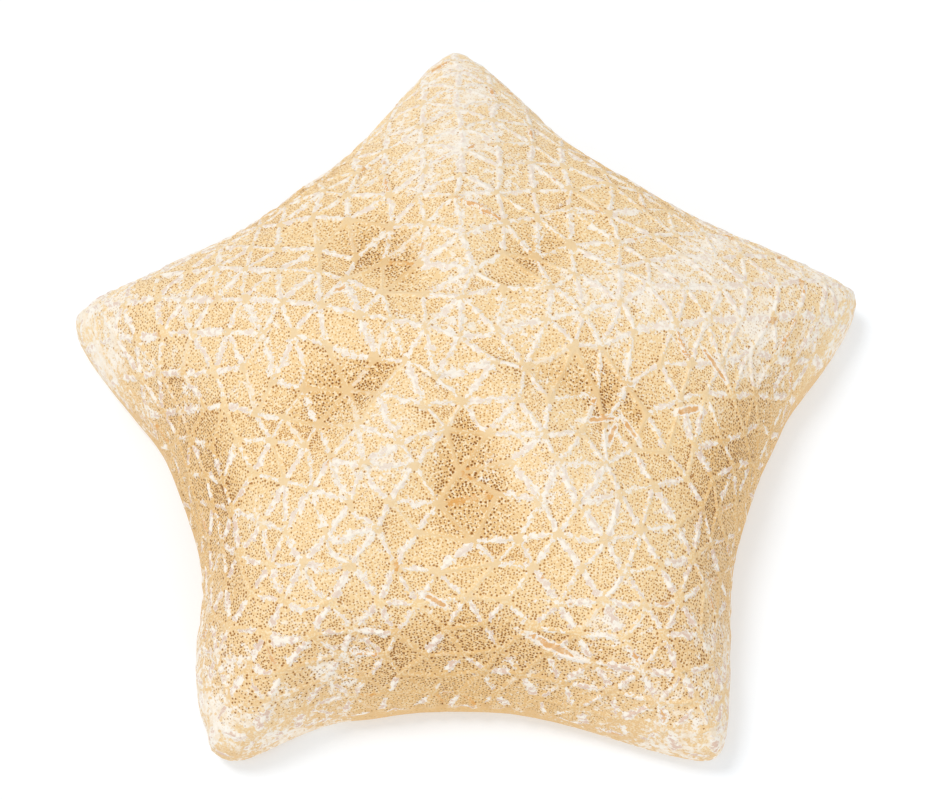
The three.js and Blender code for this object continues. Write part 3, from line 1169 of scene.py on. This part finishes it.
def off_bar(bench, place, flank, crumb, fine):
    """Ragged distance from the nearest worn bar's middle line, in parts of its ridge's length."""
    bar = bench.add("ShaderNodeSeparateXYZ", {0: bench.corners("bar")})
    inputs = {"Vector": place, "Scale": 1 / (2.4 * MM), "Detail": 3.0}
    pattern = bench.add("ShaderNodeTexNoise", inputs)
    sway = bench.add("ShaderNodeSeparateColor", {0: pattern.outputs["Color"]})
    along, across = (bench.swing(sway.outputs[side]) for side in (0, 1))
    off_end = bench.math("ABSOLUTE", bench.line(along, 0.5, bar.outputs["X"]))
    half_length = bench.line(flank, -0.12, 0.32)
    past_end = bench.most(bench.math("SUBTRACT", off_end, half_length), 0.0)
    off_middle = bench.math("ABSOLUTE", bench.line(across, 0.25, bar.outputs["Y"]))
    off = bench.length(bench.add("ShaderNodeCombineXYZ", {0: past_end, 1: off_middle}).outputs[0])
    return bench.line(fine, 0.22, bench.line(crumb, 0.3, off))


def dried_back(colours, crumbs, centre):
    """Material of the back and wall: pored fields, ridges, worn bars, amber slivers and chalk."""
    material, bench, shader, place, shade = start_material("dried_back", colours)
    names = ("chalk", "skin", "wear", "amber", "inner", "low", "wall", "flank")
    chalk, skin, wear, amber, inner, low, wall, flank = (bench.trait(name) for name in names)
    fine_grain = bench.grain(place, 0.5 * MM)
    crumb_grain = bench.grain(place, 1.6 * MM, 4.0, 0.65)
    fine = bench.swing(fine_grain)
    crumb = bench.swing(crumb_grain)
    broad = bench.swing(bench.grain(place, 14 * MM, 3.0))

    # Fields deepened by stain and, on the lower flanks and wall, partly by painted shade; pale granules,
    # partly painted highlights; smooth skin over the ridges; and the lip, partly painted shade at the foot.
    stain_and_shade = bench.line(wall, 0.75, bench.line(broad, 0.9, skin))
    stain_and_shade = bench.ease(bench.line(flank, 0.6, stain_and_shade), 0.25, 0.8)
    granules = bench.ease(bench.grain(place, 0.45 * MM, 1.0), 0.47, 0.64)
    granules = bench.times(granules, bench.line(flank, -0.3, 0.8))
    field = bench.blend(stain_and_shade, shade["field"], shade["field_deep"])
    field = bench.blend(granules, field, shade["granule"])
    ragged_inner = bench.line(crumb, 0.35, inner)
    plain = bench.rest(bench.ease(ragged_inner, 0.05, 0.19))
    colour = bench.blend(plain, field, bench.blend(stain_and_shade, shade["ridge"], shade["skin"]))
    colour = bench.coat(colour, shade["lip"], low, 0.7)

    # Faded skin, and chalk that is thick in some places and thin in others.
    lime = bench.group(crumbs, {"Place": place, "Amount": chalk})
    cover = lime.outputs["Cover"]
    colour = bench.coat(colour, shade["pale"], chalk, 0.25)
    thick = bench.line(bench.ease(bench.grain(place, 3 * MM, 3.0), 0.35, 0.62), 0.4, 0.5)
    colour = bench.coat(colour, shade["chalk"], cover, thick)

    # Pores: a brown lining darkened as painted shade of the pit, deeper in colour in stained skin, at the
    # fields' borders and on the flanks.
    pore = pore_mask(bench, place, fine, low)
    border = bench.math("SUBTRACT", 0.6, bench.times(bench.ease(inner, 0.25, 0.6), 0.6))
    deep = bench.most(bench.most(stain_and_shade, border), bench.times(flank, 0.8))
    open_pore = bench.line(cover, -0.5, bench.line(deep, 0.2, 0.77))
    pore_shade = bench.blend(deep, shade["pore"], shade["pore_deep"])
    colour = bench.coat(colour, pore_shade, pore, open_pore)

    # Worn bars along the ridges, with a cut heart that shows most on the flanks.
    ragged = off_bar(bench, place, flank, crumb, fine)
    half_width = bench.line(wear, bench.line(flank, 0.012, 0.046), 0.026)
    depth = bench.math("SUBTRACT", half_width, ragged)
    worn = bench.times(bench.ease(depth, -0.005, 0.008), bench.ease(wear, 0.08, 0.25))
    colour = bench.coat(colour, shade["chalk"], worn, 0.92)
    heart = bench.times(bench.ease(depth, 0.019, 0.031), bench.ease(wear, 0.2, 0.45))
    heart = bench.times(heart, bench.ease(bench.grain(place, 1.2 * MM, 4.0), 0.44, 0.56))
    colour = bench.coat(colour, shade["core"], heart, bench.line(flank, 0.45, 0.35))

    # Amber slivers: whole bars, chance chips beside ridges, and the placed marks with their chalk rims;
    # pale spots on the amber are painted glints.
    chip = bench.ease(bench.grain(place, 4 * MM, 5.0, 0.6), 0.645, 0.665)
    chip = bench.times(chip, bench.rest(bench.ease(ragged_inner, 0.1, 0.3)))
    sliver = bench.ease(bench.math("SUBTRACT", 0.03, ragged), -0.006, 0.006)
    sliver = bench.most(bench.times(sliver, amber), chip)
    edge = bench.line(fine, 1.2, bench.times(crumb, 2.6))
    middle = Vector((*centre, 0.0))
    for across, along, *half_sizes, turn in AMBER_MARKS:
        spot = middle + Vector((across, along, 0.0)) * MM
        off_mark = place_mark(bench, place, edge, spot, (*half_sizes, ANY_HEIGHT), turn)
        colour = bench.coat(colour, shade["chalk"], bench.rest(bench.ease(off_mark, 1.5, 1.9)), 0.8)
        sliver = bench.most(sliver, bench.rest(bench.ease(off_mark, 0.8, 1.1)))
    # Painted glints on the glassy amber, in the pale granule colour.
    glint = bench.times(bench.ease(crumb_grain, 0.4, 0.7), 0.5)
    colour = bench.coat(colour, bench.blend(glint, shade["amber"], shade["granule"]), sliver, 0.85)

    # Deep holes, painted as dark shade where the mesh has no holes.
    edge = bench.times(fine, 0.6)
    for *spot, radius in HOLES:
        off_hole = place_mark(bench, place, edge, middle + Vector(spot) * MM, (radius, radius, radius))
        colour = bench.coat(colour, shade["hole"], bench.rest(bench.ease(off_hole, 0.8, 1.1)), 0.75)
    bench.feed(shader.inputs["Base Color"], colour)

    # Shine and fine relief.
    roughness = bench.math("SUBTRACT", bench.line(cover, 0.12, 0.72), bench.times(sliver, 0.4))
    bench.feed(shader.inputs["Roughness"], roughness)
    height = bench.times(pore, -0.6)
    for part, share in ((lime.outputs["Height"], 0.8), (fine_grain, 0.35), (worn, 0.4), (heart, -0.4)):
        height = bench.line(part, share, height)
    bench.bump(shader, height, 0.15 * MM, 0.6)
    return material


def dried_underside(colours, crumbs):
    """Material of the underside: pale granular plates with darker seams and grooves."""
    material, bench, shader, place, shade = start_material("dried_underside", colours)
    granules = bench.grain(place, 0.8 * MM)
    colour = bench.blend(bench.ease(granules, 0.4, 0.65), shade["field_deep"], shade["under"])
    flat = {0: place, 1: (1.0, 1.0, 0.0), 2: bench.warp(place, 6 * MM, 2 * MM)}
    swayed = bench.add("ShaderNodeVectorMath", flat, operation="MULTIPLY_ADD").outputs[0]
    plates = {"Vector": swayed, "Scale": 1 / (3.4 * MM)}
    edges = bench.add("ShaderNodeTexVoronoi", plates, feature="DISTANCE_TO_EDGE").outputs["Distance"]
    plate = bench.ease(edges, 0.02, 0.16)
    colour = bench.coat(colour, shade["amber"], bench.rest(plate), 0.55)
    lime = bench.group(crumbs, {"Place": place, "Amount": 0.5})
    colour = bench.coat(colour, shade["chalk"], lime.outputs["Cover"], 0.6)
    colour = bench.coat(colour, shade["amber"], bench.trait("groove"), 0.75)
    bench.feed(shader.inputs["Base Color"], colour)
    shader.inputs["Roughness"].default_value = 0.85
    bench.bump(shader, bench.line(plate, 0.8, granules), 0.25 * MM, 0.8)
    return material


def finish_mesh(bm, name):
    """A mesh from a bmesh that is then no longer needed."""
    mesh = bpy.data.meshes.new(name)
    bm.to_mesh(mesh)
    bm.free()
    return mesh


def show(scene, name, data):
    """A new object in the scene."""
    item = bpy.data.objects.new(name, data)
    scene.collection.objects.link(item)
    return item


class STARFISH_OT_make_body(bpy.types.Operator):
    """Builds the starfish body with its net of ridges, pores and underside"""

    bl_idname = "starfish.make_body"
    bl_label = "Make Starfish"

    def execute(self, context):
        scene = context.scene
        net = scene.starfish_net
        rng = np.random.default_rng(net.seed)
        shape = StarShape(scene.starfish_body, net)
        bm = bmesh.new()
        hubs = lay_net(bm, net, shape, rng)
        lay_wall(bm)
        lay_underside(bm, net.rows * (net.ridge_cuts + 1))
        stand_up(bm, shape)
        mesh = finish_mesh(bm, "starfish_skin")
        mesh.shade_smooth()
        detail = BodyMesh(mesh, hubs, shape, WearMap(shape), net)
        detail.raise_relief(rng)
        detail.map_bake()
        detail.map_bars()
        detail.map_pores(rng)
        detail.give_traits()
        crumbs = crumb_group()
        mesh.materials.append(dried_back(scene.starfish_colours, crumbs, shape.centre))
        mesh.materials.append(dried_underside(scene.starfish_colours, crumbs))
        mesh.polygons.foreach_set("material_index", detail.under.astype(np.int32))
        mesh.uv_layers["OFBake"].active_render = True
        piece = show(scene, "starfish_skin", mesh)
        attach(piece, "root")
        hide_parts(BODY_NODE)
        return {"FINISHED"}


class STARFISH_OT_set_stage(bpy.types.Operator):
    """Sets the white floor, the soft light and the camera"""

    bl_idname = "starfish.set_stage"
    bl_label = "Set Stage"

    floor_half_size = 2.0
    floor_shader = {
        "Base Color": (0.652, 0.685, 0.72, 1.0),
        "Emission Color": WHITE,
        "Emission Strength": 0.35,
        "Roughness": 0.9,
        "Specular IOR Level": 0.1,
    }
    key_place = (-0.34, 0.15, 0.9)
    fill_place = (0.25, -0.85, 0.35)
    sensor_width = 36.0
    nearest_view = 0.01

    def execute(self, context):
        scene = context.scene
        stage = scene.starfish_stage
        self.lay_floor(scene)
        self.hang_lights(scene, stage)
        self.aim_camera(scene, stage)
        return {"FINISHED"}

    def lay_floor(self, scene):
        """A plain white floor."""
        bm = bmesh.new()
        bmesh.ops.create_grid(bm, x_segments=1, y_segments=1, size=self.floor_half_size)
        mesh = finish_mesh(bm, "floor")
        material = bpy.data.materials.new("floor_white")
        material.use_nodes = True
        shader = material.node_tree.nodes["Principled BSDF"]
        for name, value in self.floor_shader.items():
            shader.inputs[name].default_value = value
        mesh.materials.append(material)
        floor = show(scene, "floor", mesh)

    def hang_lights(self, scene, stage):
        """A large soft light from the upper left, a low one from in front, and even light all round."""
        for name, power, place in (
            ("key", stage.key_power, self.key_place),
            ("fill", stage.fill_power, self.fill_place),
        ):
            light = bpy.data.lights.new(name, "SUN")
            light.energy = power
            light.angle = stage.light_spread
            lamp = show(scene, name, light)
            lamp.location = place
            lamp.rotation_euler = (-lamp.location).to_track_quat("-Z", "Y").to_euler()
        world = bpy.data.worlds.new("studio")
        world.use_nodes = True
        sky = world.node_tree.nodes["Background"]
        sky.inputs["Color"].default_value = WHITE
        sky.inputs["Strength"].default_value = stage.sky_strength
        scene.world = world
        scene.view_settings.view_transform = "Standard"

    def aim_camera(self, scene, stage):
        """A long lens that looks down on the disc from in front."""
        shape = StarShape(scene.starfish_body, scene.starfish_net)
        tilt = stage.camera_tilt
        back = Vector((0.0, -math.cos(tilt), math.sin(tilt)))
        up = Vector((0.0, math.sin(tilt), math.cos(tilt)))
        right_shift = (PHOTO_WIDTH / 2 - stage.centre_pixel[0]) * stage.pixel_size
        up_shift = (stage.centre_pixel[1] - PHOTO_HEIGHT / 2) * stage.pixel_size
        lens = bpy.data.cameras.new("camera")
        lens.sensor_width = self.sensor_width
        lens.lens = self.sensor_width * stage.camera_distance / (PHOTO_WIDTH * stage.pixel_size)
        lens.clip_start = self.nearest_view
        camera = show(scene, "camera", lens)
        foot = Vector((shape.centre[0] + right_shift, shape.centre[1], 0.0))
        camera.location = foot + up * up_shift + back * stage.camera_distance
        camera.rotation_euler = (math.pi / 2 - tilt, 0.0, 0.0)
        scene.camera = camera


class STARFISH_PT_panel(bpy.types.Panel):
    """Sizes, colours and steps of the starfish"""

    bl_label = "Starfish"
    bl_idname = "STARFISH_PT_panel"
    bl_space_type = "VIEW_3D"
    bl_region_type = "UI"
    bl_category = "Starfish"

    def draw(self, context):
        layout = self.layout
        for setting in SETTINGS:
            group = getattr(context.scene, setting)
            box = layout.box()
            for name in type(group).__annotations__:
                box.prop(group, name)
        layout.operator(STARFISH_OT_make_body.bl_idname)
        layout.operator(STARFISH_OT_set_stage.bl_idname)


CLASSES = (
    StarfishBody,
    StarfishNet,
    StarfishColours,
    StarfishStage,
    STARFISH_OT_make_body,
    STARFISH_OT_set_stage,
    STARFISH_PT_panel,
)
SETTINGS = {
    "starfish_body": StarfishBody,
    "starfish_net": StarfishNet,
    "starfish_colours": StarfishColours,
    "starfish_stage": StarfishStage,
}


def register():
    """Makes the settings, steps and panel known."""
    for item in CLASSES:
        bpy.utils.register_class(item)
    for name, kind in SETTINGS.items():
        setattr(bpy.types.Scene, name, bpy.props.PointerProperty(type=kind))


def unregister():
    """Takes them away again."""
    for name in SETTINGS:
        delattr(bpy.types.Scene, name)
    for item in reversed(CLASSES):
        bpy.utils.unregister_class(item)


def main():
    """Builds the starfish and its stage."""
    register()
    bpy.ops.starfish.make_body()
    bpy.ops.starfish.set_stage()


if __name__ == "__main__":
    main()
